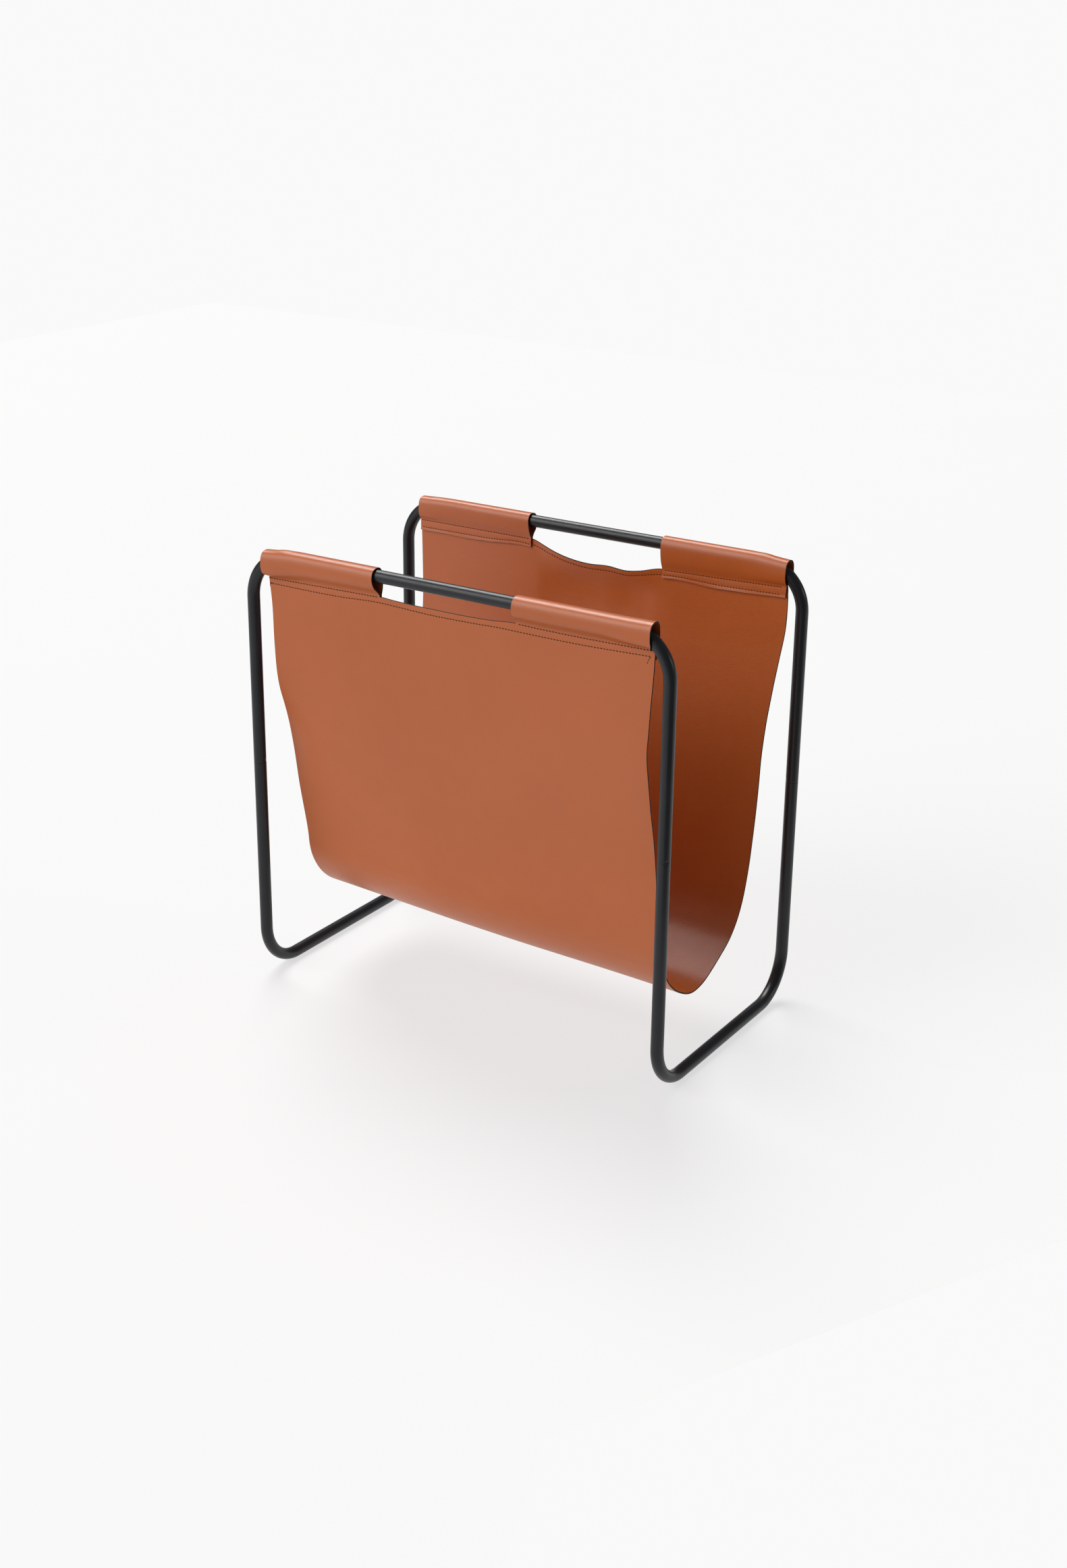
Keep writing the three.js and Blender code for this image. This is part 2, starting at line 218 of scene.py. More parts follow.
class Shader:
    """A node material with short ways to add and join nodes."""

    def __init__(self, name, **principled):
        self.material = bpy.data.materials.new(name)
        self.material.use_nodes = True
        self.tree = self.material.node_tree
        self.surface = self.tree.nodes["Principled BSDF"]
        for socket, value in principled.items():
            self.surface.inputs[socket.replace("_", " ")].default_value = value

    def node(self, kind, links=None, **values):
        node = self.tree.nodes.new(f"ShaderNode{kind}")
        for key, value in values.items():
            if hasattr(node, key):
                setattr(node, key, value)
            else:
                node.inputs[key.replace("_", " ")].default_value = value
        for socket, source in (links or {}).items():
            self.tree.links.new(source, node.inputs[socket])
        return node

    def to_surface(self, socket, source):
        self.tree.links.new(source, self.surface.inputs[socket])

    def sheet_coordinates(self, scale=(1, 1, 1)):
        """The sheet's own flat coordinates, in metres, so the grain follows the leather round its bends."""
        flat = self.node("UVMap", uv_map="flat")
        return self.node("Mapping", {"Vector": flat.outputs["UV"]}, Scale=scale).outputs["Vector"]

    def object_coordinates(self):
        return self.node("TexCoord").outputs["Object"]

    def noise(self, vector, scale, detail=2.0, roughness=0.5):
        node = self.node("TexNoise", {"Vector": vector}, Scale=scale, Detail=detail, Roughness=roughness)
        return node.outputs["Fac"]

    def remap(self, source, low, high, to_low=0.0, to_high=1.0):
        limits = {"From_Min": low, "From_Max": high, "To_Min": to_low, "To_Max": to_high}
        return self.node("MapRange", {"Value": source}, **limits).outputs["Result"]

    def ramp(self, source, stops):
        node = self.node("ValToRGB", {"Fac": source})
        for i, (place, colour) in enumerate(stops):
            stop = node.color_ramp.elements[i] if i < 2 else node.color_ramp.elements.new(place)
            stop.position = place
            stop.color = (*colour, 1)
        return node.outputs["Color"]

    def maths(self, operation, a, b):
        node = self.node("Math", operation=operation)
        for socket, value in zip(node.inputs, (a, b)):
            if isinstance(value, (int, float)):
                socket.default_value = value
            else:
                self.tree.links.new(value, socket)
        return node.outputs["Value"]

    def bump(self, height, distance, strength=1.0, under=None):
        links = {"Height": height}
        if under:
            links["Normal"] = under
        return self.node("Bump", links, Strength=strength, Distance=distance).outputs["Normal"]


def powder_coat():
    """Satin charcoal powder coat with its fine orange peel, and a slightly uneven tone and gloss."""
    s = Shader("frame_powder_coat", Specular_IOR_Level=0.34)
    at = s.object_coordinates()
    tone = s.ramp(s.noise(at, 30, 3), [(0.3, (0.0078, 0.0088, 0.0112)), (0.75, (0.0108, 0.0120, 0.0148))])
    s.to_surface("Base Color", tone)
    s.to_surface("Roughness", s.remap(s.noise(at, 90, 4), 0.3, 0.7, 0.30, 0.37))
    peel = s.bump(s.noise(at, 900, 2), 0.00006, 0.6)
    s.to_surface("Normal", s.bump(s.noise(at, 60, 2), 0.0004, 0.25, peel))
    return s.material


LEATHER_DARK = (0.404, 0.0895, 0.0140)
LEATHER_MID = (0.420, 0.0945, 0.0155)
LEATHER_LIGHT = (0.436, 0.0995, 0.0170)


def leather(name, cross_grain):
    """Smooth coated leather. cross_grain adds the fine grain across the sheet that its pocket side has."""
    s = Shader(name, Specular_IOR_Level=0.52)
    flat = s.sheet_coordinates()
    broad = s.noise(flat, 9, 3, 0.55)
    mottle = s.noise(flat, 70, 4, 0.6)
    tone = s.maths("ADD", s.maths("MULTIPLY", broad, 0.72), s.maths("MULTIPLY", mottle, 0.28))
    colour = s.ramp(tone, [(0.34, LEATHER_DARK), (0.5, LEATHER_MID), (0.68, LEATHER_LIGHT)])
    s.to_surface("Base Color", colour)
    s.to_surface("Roughness", s.remap(s.noise(flat, 160, 3), 0.3, 0.7, 0.37, 0.42))
    pores = s.node("TexVoronoi", {"Vector": flat}, Scale=1500.0).outputs["Distance"]
    grain = s.bump(pores, 0.00005, 0.35)
    grain = s.bump(s.noise(flat, 420, 4, 0.6), 0.0001, 0.35, grain)
    if cross_grain:
        lines = s.noise(s.sheet_coordinates((150, 1200, 1)), 1.0, 2, 0.5)
        weave = s.noise(s.sheet_coordinates((700, 420, 1)), 1.0, 2, 0.5)
        grain = s.bump(lines, 0.00018, 0.5, grain)
        grain = s.bump(weave, 0.00012, 0.45, grain)
    s.to_surface("Normal", s.bump(s.noise(flat, 24, 2), 0.0012, 0.25, grain))
    return s.material


def edge_paint():
    """The black paint on the sheet's cut edges."""
    s = Shader("leather_edge_paint", Roughness=0.62, Specular_IOR_Level=0.2)
    at = s.object_coordinates()
    tone = s.ramp(s.noise(at, 500, 3), [(0.3, (0.010, 0.006, 0.005)), (0.8, (0.026, 0.014, 0.010))])
    s.to_surface("Base Color", tone)
    s.to_surface("Normal", s.bump(s.noise(at, 1400, 3), 0.0001, 0.5))
    return s.material


def raw_edge():
    """The bare cut edge of the flaps, paler than the face."""
    s = Shader("leather_raw_edge", Roughness=0.8)
    at = s.object_coordinates()
    tone = s.ramp(s.noise(at, 900, 4), [(0.3, (0.36, 0.15, 0.085)), (0.75, (0.55, 0.27, 0.17))])
    s.to_surface("Base Color", tone)
    s.to_surface("Normal", s.bump(s.noise(at, 2200, 3), 0.00015, 0.7))
    return s.material


def thread():
    """Dark brown waxed thread, twisted."""
    s = Shader("seam_thread_waxed", Roughness=0.65, Specular_IOR_Level=0.15)
    at = s.object_coordinates()
    stops = [(0.3, (0.020, 0.0065, 0.0028)), (0.75, (0.050, 0.016, 0.007))]
    s.to_surface("Base Color", s.ramp(s.noise(at, 1200, 3), stops))
    twist = s.node("TexWave", {"Vector": at}, Scale=420.0, Distortion=2.0).outputs["Fac"]
    s.to_surface("Normal", s.bump(twist, 0.0001, 0.5))
    return s.material


def turned_steel():
    """Bare steel with fine turning marks, for the pins inside the legs."""
    s = Shader("pin_turned_steel", Metallic=1.0)
    at = s.object_coordinates()
    stretched = s.node("Mapping", {"Vector": at}, Scale=(60, 60, 4000)).outputs["Vector"]
    marks = s.noise(stretched, 1.0, 3)
    s.to_surface("Base Color", s.ramp(marks, [(0.3, (0.42, 0.42, 0.43)), (0.7, (0.58, 0.58, 0.6))]))
    s.to_surface("Roughness", s.remap(marks, 0.3, 0.7, 0.28, 0.42))
    s.to_surface("Normal", s.bump(marks, 0.00004, 0.5))
    return s.material


def studio_floor():
    """Pale, almost even floor, with a glow of its own that lifts it to the backdrop's brightness."""
    s = Shader("studio_floor", Roughness=0.75, Specular_IOR_Level=0.2)
    tone = s.noise(s.object_coordinates(), 3, 2)
    s.to_surface("Base Color", s.ramp(tone, [(0.3, (0.219, 0.219, 0.218)), (0.7, (0.221, 0.221, 0.220))]))
    s.surface.inputs["Emission Color"].default_value = (1.0, 1.0, 1.0, 1)
    s.surface.inputs["Emission Strength"].default_value = FLOOR_GLOW
    return s.material


# ---- Meshes --------------------------------------------------------------------------------------

def make_piece(name, vertices, faces, materials, face_materials=None, sharp=None, uvs=None):
    """A smooth-shaded mesh object from vertices in millimetres. sharp lists edges to keep crisp."""
    mesh = bpy.data.meshes.new(name)
    mesh.from_pydata((np.asarray(vertices) * MM).tolist(), [], [list(f) for f in faces])
    mesh.shade_smooth()
    for material in materials:
        mesh.materials.append(material)
    if face_materials is not None:
        mesh.polygons.foreach_set("material_index", np.asarray(face_materials, dtype=np.int32))
    if uvs is not None:
        layer = mesh.uv_layers.new(name="flat")
        corners = np.empty(len(mesh.loops), dtype=np.int32)
        mesh.loops.foreach_get("vertex_index", corners)
        layer.data.foreach_set("uv", (np.asarray(uvs)[corners] * MM).ravel())
    if sharp:
        wanted = {tuple(sorted(e)) for e in sharp}
        for edge in mesh.edges:
            edge.use_edge_sharp = tuple(sorted(edge.vertices)) in wanted
    mesh.update()
    obj = bpy.data.objects.new(name, mesh)
    bpy.context.collection.objects.link(obj)
    return obj


def stand_for(obj, slot, *nodes):
    """Puts a piece in the rack: it rides on the one body and stands for its CAD nodes."""
    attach(obj, "root")
    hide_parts(*nodes)
    return obj


# ---- Tube hoops ----------------------------------------------------------------------------------

def hoop_stations(span, legs, bend_r):
    """Centre line of a U in its own plane: [across, up, tangent across, tangent up, bend share]. legs
    holds the heights of its two ends."""
    near_end = [0, 0.3, 0.6, 0.9, 1.3, 1.7, 2.1, 2.6, 3.1, 3.7, 4.4, 5.2, 6.5, 9, 14, 22]
    stations = [[-span / 2, legs[0] - d, 0, -1, 0] for d in near_end]
    for centre, start in ((-span / 2 + bend_r, math.pi), (span / 2 - bend_r, 1.5 * math.pi)):
        for i in range(BEND_STEPS + 1):
            angle = start + i / BEND_STEPS * math.pi / 2
            ends = min(i, BEND_STEPS - i) / 4
            x, y = centre + bend_r * math.cos(angle), bend_r + bend_r * math.sin(angle)
            stations.append([x, y, -math.sin(angle), math.cos(angle), min(ends, 1)])
    stations += [[span / 2, legs[1] - d, 0, 1, 0] for d in reversed(near_end)]
    return np.array(stations)


def hoop(name, span, legs, bend_r, place):
    """A hollow tube bent into a U. place turns (across, up, out) arrays into points of the frame."""
    stations = hoop_stations(span, legs, bend_r)
    angle = np.linspace(0, 2 * math.pi, TUBE_SIDES, endpoint=False)
    ring = np.column_stack([np.cos(angle), np.sin(angle)])
    outer, inner = [], []
    for x, y, tx, ty, bent in stations:
        to_end = legs[int(x > 0)] - y
        # The paint stands a little proud where the two tube ends meet, with a fine groove in it.
        swell = JOINT_SWELL * math.exp(-((to_end / 2.0) ** 2)) * (0.6 + 0.4 * np.sin(3 * angle + x))
        radius = TUBE_R + swell - JOINT_GROOVE * max(0.0, 1 - to_end / 0.6)
        in_plane = radius * (1 - BEND_FLATTENING * bent)
        out_plane = radius * (1 + 0.6 * BEND_FLATTENING * bent)
        for rows, a, b in ((outer, in_plane, out_plane), (inner, TUBE_R - TUBE_WALL, TUBE_R - TUBE_WALL)):
            across = x - ty * ring[:, 0] * a
            up = y + tx * ring[:, 0] * a
            rows.append(place(across, up, ring[:, 1] * b))
    outer, inner = pitted(np.array(outer)), np.array(inner)
    count = len(stations)
    vertices = np.vstack([outer.reshape(-1, 3), inner.reshape(-1, 3)])
    index = np.arange(2 * count * TUBE_SIDES).reshape(2, count, TUBE_SIDES)
    nxt = np.roll(index, -1, axis=2)
    walls = []
    for layer, flip in ((0, False), (1, True)):
        a, b = index[layer, :-1], nxt[layer, :-1]
        c, d = nxt[layer, 1:], index[layer, 1:]
        quads = np.stack([a, b, c, d] if not flip else [d, c, b, a], axis=-1).reshape(-1, 4)
        walls.append(quads)
    first = np.stack([index[1, 0], nxt[1, 0], nxt[0, 0], index[0, 0]], axis=-1)
    last = np.stack([index[0, -1], nxt[0, -1], nxt[1, -1], index[1, -1]], axis=-1)
    faces = np.vstack([*walls, first, last])
    rim = [tuple(e) for k in (0, 1) for end in (0, -1) for e in zip(index[k, end], nxt[k, end])]
    return make_piece(name, vertices, face_out(vertices, faces, outer), [coat], sharp=rim)


def pitted(points):
    """The tube's surface with the pits that its paint has near the joints."""
    for (side, end), pits in JOINT_PITS.items():
        from_leg = points - (end * LEG_X, side * BAR_Y, joint_height(side, end))
        turn = np.arctan2(from_leg[..., 1], from_leg[..., 0])
        near = np.hypot(from_leg[..., 0], from_leg[..., 1]) < 2 * TUBE_R
        for place, height, size, depth in pits:
            away = np.angle(np.exp(1j * (turn - math.radians(place)))) * TUBE_R
            dent = depth * np.exp(-((away / size) ** 2) - ((from_leg[..., 2] - height) / size) ** 2) * near
            points[..., :2] -= (dent / TUBE_R)[..., None] * from_leg[..., :2]
    return points


def face_out(vertices, faces, outer):
    """Flips all faces together if the outer wall faces in."""
    a, b, c, _ = (vertices[faces[0, k]] for k in range(4))
    outward = (a + b + c) / 3 - outer[0:2].reshape(-1, 3).mean(axis=0)
    return faces if np.dot(np.cross(b - a, c - a), outward) > 0 else faces[:, ::-1]


def joint_height(side, end):
    return (SPLICE_LOW + SPLICE_HIGH) / 2 + JOINT_RISE.get((side, end), 0)


def build_hoops():
    half_gap = JOINT_GAP / 2
    for side, name in ((-1, "front"), (1, "back")):
        def place(across, up, out, side=side):
            return np.column_stack([across, side * BAR_Y + out, BAR_Z - up])
        legs = [BAR_Z - joint_height(side, end) - half_gap for end in (-1, 1)]
        piece = hoop(f"{name}_top_hoop_tube", 2 * LEG_X, legs, TOP_BEND_R, place)
        stand_for(piece, "frame_coating", f"{name}_top_hoop")
    for end, name in ((-1, "left"), (1, "right")):
        def place(across, up, out, end=end):
            return np.column_stack([end * LEG_X + out, across, BASE_Z + up])
        legs = [joint_height(side, end) - half_gap - BASE_Z for side in (-1, 1)]
        piece = hoop(f"{name}_base_hoop_tube", 2 * BAR_Y, legs, BASE_BEND_R, place)
        stand_for(piece, "frame_coating", f"{name}_base_hoop")


# ---- The sling's surface -------------------------------------------------------------------------
#
# A point of the sheet's middle surface is named by side (-1 front, 1 back), u and q. u runs -1 to 1
# across the sheet. q runs 0 to 1 up the panel from the lowest line to the seam, 1 to 2 round the bar,
# and 2 to 3 down the flap.

LOOP_POINTS = 240

def panel_line(bottom, other_bottom):
    """The panel's section, from the lowest point to the seam: (distance from the centre plane, height).
    other_bottom is the other side's, which this one carries on smoothly."""
    upper = [(75.2, 141), (79.2, 170), (84.2, 200), (90.2, 230), (95.7, 258), (99.3, 285), (100.9, 312),
             (PANEL_SEAM_Y, SEAM_Z)]
    return spline(bottom + upper, before=(-other_bottom[1][0], other_bottom[1][1]))


def round_bottom():
    """The lower end of the panel's section where it isn't skewed, part of an oval."""
    radius_y, radius_z, centre_z = 72.6, 110.0 - SHEET_LOW - LEATHER / 2, 110.0
    angles = np.radians([0, 14, 28, 42, 56, 70, 82])
    return [(radius_y * math.sin(a), centre_z - radius_z * math.cos(a)) for a in angles] + [(72.9, 116)]


def loop_line(offsets):
    """The sleeve's section round the bar, from (distance from the bar's centre, height) points."""
    points = [(BAR_Y + dy, z) for dy, z in offsets]
    return even(spline([(PANEL_SEAM_Y, SEAM_Z), *points, (FLAP_SEAM_Y, SEAM_Z)]), LOOP_POINTS)


TOP = BAR_Z + TUBE_R + LEATHER / 2 + SLEEVE_FIT
PANEL = panel_line(round_bottom(), round_bottom())
PANEL_RIGHT = {
    side: even(panel_line(RIGHT_BOTTOM[side], RIGHT_BOTTOM[-side]), len(PANEL)) for side in (-1, 1)
}
OVER_BAR = [(4.9, 369.0), (1.9, TOP - 0.2), (-0.8, TOP), (-3.6, 370.0), (-5.7, 367.0)]
LOOP_MIDDLE = loop_line([(0.6, 352.0), (4.6, 356.0), (6.7, 361.0), (6.6, 365.4), *OVER_BAR,
                         (-6.2, 363.0), (-5.9, 358.0), (-5.0, 353.4)])
LOOP_END = loop_line([(1.6, 350.6), (5.2, 352.6), (6.8, 356.6), (7.0, 361.6), (6.6, 365.6), *OVER_BAR,
                      (-6.4, 362.6), (-6.6, 357.0), (-5.6, 352.4)])


def section(q, side, end_share, right_share):
    """The section at q: distance from the centre plane and height. end_share is 1 at both ends of the
    sleeves, and right_share at the sheet's right end."""
    at_panel = np.clip(q, 0, 1) * (len(PANEL) - 1)
    at_loop = np.clip(q - 1, 0, 1) * (LOOP_POINTS - 1)
    steps, loop_steps = np.arange(len(PANEL)), np.arange(LOOP_POINTS)
    values = []
    for k in (0, 1):
        value = np.interp(at_panel, steps, PANEL[:, k])
        value = value + (np.interp(at_panel, steps, PANEL_RIGHT[side][:, k]) - value) * right_share
        middle = np.interp(at_loop, loop_steps, LOOP_MIDDLE[:, k])
        end = np.interp(at_loop, loop_steps, LOOP_END[:, k])
        values.append(np.where(q > 1, middle + (end - middle) * end_share, value))
    return values


def seam_shift(x, side):
    return table(SEAM_HEIGHTS[side], x) - SEAM_Z


def flap_length(x, side):
    wander = 0.35 * np.sin(x / 19 + 2 * side) + 0.2 * np.sin(x / 7.3)
    return table(SEAM_HEIGHTS[side], x) - table(LOWER_ROW[side], x) + FLAP_MARGIN + wander


def half_width(z, side, end):
    return table(EDGE_WIDTHS[side, end], np.clip(z, 45, SEAM_Z))


def across(u, q, side):
    """x at u, which is -1 and 1 at the sheet's edges, and -1/3 and 1/3 at the ends of the window."""
    _, z = section(q, side, 0, 0)
    beyond = smoothstep(0, 0.25, q - 1)
    left, right = (half_width(z, side, end) for end in (-1, 1))
    left = left + (SLEEVE_HALF_WIDTH[side, -1] - left) * beyond
    right = right + (SLEEVE_HALF_WIDTH[side, 1] - right) * beyond
    narrow = smoothstep(0, 1, q - 2) * 0.3
    toward_top = smoothstep(0.4, 0.9, q)
    low, high = (mean + (end - mean) * toward_top for mean, end in zip((-60, 60), WINDOW[side]))
    over_bar = np.sin(np.pi * np.clip(q - 1, 0, 1))
    low, high = low - WINDOW_FLARE[side][0] * over_bar, high + WINDOW_FLARE[side][1] * over_bar
    left_part = low + (u + 1 / 3) * 1.5 * (left - narrow + low)
    right_part = high + (u - 1 / 3) * 1.5 * (right - narrow - high)
    middle_part = low + (u + 1 / 3) * 1.5 * (high - low)
    return np.where(u < -1 / 3, left_part, np.where(u > 1 / 3, right_part, middle_part))


def sheet_point(u, q, side):
    """Points of the sheet's middle surface, shape (..., 3)."""
    x = across(u, q, side)
    y, z = section(q, side, smoothstep(128, 170, np.abs(x)), smoothstep(-60, 160, x))
    shift = seam_shift(x, side)

    # The seam's wander fades out down the panel and up the sleeve.
    on_panel = smoothstep(286, SEAM_Z, z)
    on_loop = np.clip((TOP - z) / (TOP - SEAM_Z), 0, 1)
    z = z + shift * np.where(q <= 1, on_panel, np.where(q < 2, on_loop, 1.0))
    z = z - np.clip(q - 2, 0, 1) * flap_length(x, side)
    droop = np.where(x < 0, *SLEEVE_DROOP[side]) * smoothstep(140, 184, np.abs(x))
    z = z - droop * (q > 1) * (q < 2) * (1 - on_loop)

    # The sheet hangs a little higher towards its left end.
    z = z + table(SHEET_LIFT, x) * (1 - smoothstep(40, 210, z)) * (q <= 1)

    # Between the sleeves the panel's edge is slack. Where it drops, it leans in and the leather below
    # bellies out.
    slack = np.clip(-shift, 0, 12) * (smoothstep(-75, -45, x) - smoothstep(45, 75, x))
    lean = smoothstep(318, SEAM_Z, z) * 0.55 - np.exp(-(((z - 312) / 24) ** 2)) * 0.35
    y = y - slack * lean * (q <= 1)

    # Broad, shallow waves in the hanging leather, and the curls of its two edges.
    free = (1 - smoothstep(300, SEAM_Z - 4, z)) * (q <= 1)
    phase = 0.0 if side < 0 else 1.7
    waves = 1.1 * np.sin(x / 47 + z / 61 + phase) + 0.8 * np.sin(x / 83 - z / 35 + 2.1 + phase)
    y = y + waves * free * smoothstep(0.0, 0.35, q)
    for curl_side, end, height, spread, reach, depth in EDGE_CURLS:
        if curl_side == side:
            from_edge = end * half_width(SEAM_Z, side, end) - x
            y = y + depth * np.exp(-((z - height) / spread) ** 2 - (from_edge / reach) ** 2) * free

    # The flap stands a little off the panel between its stitches and its free edge.
    off = np.clip(q - 2, 0, 1) ** 2 * (0.55 + 0.45 * np.sin(x / 13 + side) * np.sin(x / 31 + 1))
    y = y - off * 1.1
    return off_bar(np.stack([x, side * y, z], axis=-1), side)


def off_bar(point, side):
    """Moves points of the middle surface outwards to where the leather lies on the top bar and its bends."""
    x, z = point[..., 0], point[..., 2]
    past_x = np.sign(x) * np.maximum(np.abs(x) - (LEG_X - TOP_BEND_R), 0)
    past_z = np.maximum(z - (BAR_Z - TOP_BEND_R), 1e-9)
    beyond = 1 - TOP_BEND_R / np.hypot(past_x, past_z)
    on_axis = np.stack([x - past_x * beyond, np.full_like(x, side * BAR_Y), z - past_z * beyond], axis=-1)
    away = point - on_axis
    distance = np.linalg.norm(away, axis=-1, keepdims=True)
    return point + unit(away) * np.maximum(TUBE_R + SLEEVE_FIT + LEATHER / 2 - distance, 0)


def sheet_frame(u, q, side):
    """Points of the middle surface and its outward normals."""
    point = sheet_point(u, q, side)
    du, dq = 0.002, 0.002
    low_q, high_q = np.clip(q - dq, 0, 3), np.clip(q + dq, 0, 3)
    along = sheet_point(np.clip(u + du, -1, 1), q, side) - sheet_point(np.clip(u - du, -1, 1), q, side)
    up = sheet_point(u, high_q, side) - sheet_point(u, low_q, side)
    return point, unit(np.cross(along, up)) * -side


# ---- The sling's mesh ----------------------------------------------------------------------------

ROW_STEP = 3.4  # along the sheet where it hangs free
FINE_STEP = 1.0  # near the seams
FINE_ZONE = 26  # how far down the panel the fine rows reach
LOOP_STEP = 1.4  # round the bar
COLUMNS = 39  # across each third of the sheet
PANEL_LENGTH = float(np.linalg.norm(np.diff(PANEL, axis=0), axis=1).sum())
LOOP_LENGTH = float(np.linalg.norm(np.diff(LOOP_MIDDLE, axis=0), axis=1).sum())
WINDOW_Q = 1 - WINDOW_DROP / PANEL_LENGTH


def sheet_rows():
    """q of the grid's rows for one side, from the lowest line to the flap's free edge."""
    fine_from = 1 - FINE_ZONE / PANEL_LENGTH
    free = np.arange(0, fine_from, ROW_STEP / PANEL_LENGTH)
    seam = np.linspace(fine_from, WINDOW_Q, int((FINE_ZONE - WINDOW_DROP) / FINE_STEP) + 1)
    loop = np.linspace(1, 2, int(LOOP_LENGTH / LOOP_STEP))
    flap = np.linspace(2, 3, int(FLAP_LENGTH / FINE_STEP) + 1)[1:]
    return np.concatenate([free, seam, loop, flap])


def groove(point, side, q):
    """How far the stitches pull the face in at a point of either face."""
    x, z = point[..., 0], point[..., 2]
    near = (q > 0.85) & (q < 1.0) | (q > 2.0)
    depth = np.exp(-(((z - table(LOWER_ROW[side], x)) / PULL_SPREAD) ** 2))
    low, high = WINDOW[side]
    in_tab = (x < low) | (x > high)
    depth = depth + np.exp(-(((z - upper_row(x, side)) / PULL_SPREAD) ** 2)) * in_tab
    return STITCH_PULL * depth * near


def upper_row(x, side):
    return table(SEAM_HEIGHTS[side], x) - UPPER_ROW_DROP


def sheet_grid():
    """The whole sheet's middle surface as one grid, from the front flap's edge to the back flap's."""
    q = sheet_rows()
    third = np.linspace(-1, -1 / 3, COLUMNS + 1)
    u = np.concatenate([third, np.linspace(-1 / 3, 1 / 3, COLUMNS + 1)[1:], -third[:-1][::-1]])
    parts = []
    for side in (-1, 1):
        uu, qq = np.meshgrid(u, q)
        point, normal = sheet_frame(uu, qq, side)
        thick = LEATHER / 2 - groove(point, side, qq)
        along = side * (np.clip(qq, 0, 1) * PANEL_LENGTH + np.clip(qq - 1, 0, 1) * LOOP_LENGTH
                        + np.clip(qq - 2, 0, 1) * FLAP_LENGTH)
        flat = np.stack([point[..., 0], along], axis=-1)
        cut = (qq[:-1, :-1] >= WINDOW_Q - 1e-9) & (np.abs((uu[:-1, :-1] + uu[1:, 1:]) / 2) < 1 / 3)
        parts.append([point, normal, thick, flat, cut, qq])
    front, back = parts
    joined = [np.concatenate([a[::-1], b[1:]]) for a, b in zip(front[:4], back[:4])]
    cut = np.concatenate([front[4][::-1], back[4]])
    q_all = np.concatenate([front[5][::-1], back[5][1:]])
    return (*joined, cut, q_all)


def build_sling():
    point, normal, thick, flat, cut, q = sheet_grid()
    rows, columns = q.shape
    index = np.arange(rows * columns).reshape(rows, columns)
    corners = [index[:-1, :-1], index[:-1, 1:], index[1:, 1:], index[1:, :-1]]
    quads = np.stack([c[~cut] for c in corners], axis=-1)
    point, normal, flat = (a.reshape(rows * columns, -1) for a in (point, normal, flat))
    thick, q = thick.reshape(-1, 1), q.ravel()

    # The front half's rows run down to the lowest line, so this order of corners faces the outer side.
    a, b, c = (point[quads[0, k]] for k in (0, 1, 2))
    if np.dot(np.cross(b - a, c - a), normal[quads[0, 0]]) < 0:
        quads = quads[:, ::-1]

    edges = np.concatenate([quads[:, [k, (k + 1) % 4]] for k in range(4)])
    owner = np.tile(np.arange(len(quads)), 4)
    key = np.sort(edges, axis=1) @ np.array([len(point), 1])
    _, first, uses = np.unique(key, return_index=True, return_counts=True)
    border = first[uses == 1]
    rim, rim_owner = edges[border], owner[border]

    # Outward direction in the sheet's plane at each border vertex.
    centre = point[quads[rim_owner]].mean(axis=1)
    away = np.zeros_like(point)
    step = point[rim].mean(axis=1) - centre
    for k in (0, 1):
        np.add.at(away, rim[:, k], step)
    away = unit(away - normal * np.sum(away * normal, axis=1, keepdims=True))
    away[~np.isin(np.arange(len(point)), rim)] = 0

    inset = thick - EDGE_ROUNDING
    layers = [point + normal * thick, point + normal * inset + away * EDGE_ROUNDING,
              point - normal * inset + away * EDGE_ROUNDING, point - normal * thick]
    size = len(point)
    a, b = rim[:, 0], rim[:, 1]
    bands = []
    for k in range(3):
        near, far = k * size, (k + 1) * size
        bands.append(np.stack([b + near, a + near, a + far, b + far], axis=-1))
    inner = quads[:, ::-1] + 3 * size
    faces = np.concatenate([quads, inner, *bands])
    is_flap_edge = (q[a] > 3 - 1e-6) & (q[b] > 3 - 1e-6)
    rim_material = np.where(is_flap_edge, 3, 2)
    materials = np.concatenate([np.zeros(len(quads)), np.ones(len(quads)), *[rim_material] * 3]).astype(int)
    sharp = [(a_ + k * size, b_ + k * size) for k in (0, 3) for a_, b_ in rim]

    used = np.unique(faces)
    renumber = np.zeros(4 * size, dtype=int)
    renumber[used] = np.arange(len(used))
    vertices = np.concatenate(layers)[used]
    uvs = np.tile(flat, (4, 1))[used]
    sharp = [(renumber[a_], renumber[b_]) for a_, b_ in sharp]
    obj = make_piece("sling_sheet", vertices, renumber[faces],
                     [face_leather, pocket_leather, painted_edge, bare_edge], materials, sharp, uvs)
    return stand_for(obj, "sling_leather", "leather_sling")


# ---- Stitching -----------------------------------------------------------------------------------

def on_row(x, height, side, flap):
    """u and q of the points at x whose height on the panel, or on the flap, is the given one."""
    q_line = np.linspace(2.02, 2.98, 60) if flap else np.linspace(0.86, 0.999, 90)
    u_line = np.linspace(-1, 1, 401)
    q_guess = np.full_like(u_line, q_line[len(q_line) // 2])
    u = np.interp(x, across(u_line, q_guess, side), u_line)
    uu, qq = np.meshgrid(u, q_line, indexing="ij")
    z = sheet_point(uu, qq, side)[..., 2]
    order = slice(None, None, -1) if flap else slice(None)
    q = np.array([np.interp(h, row[order], q_line[order]) for h, row in zip(height, z)])
    return u, q


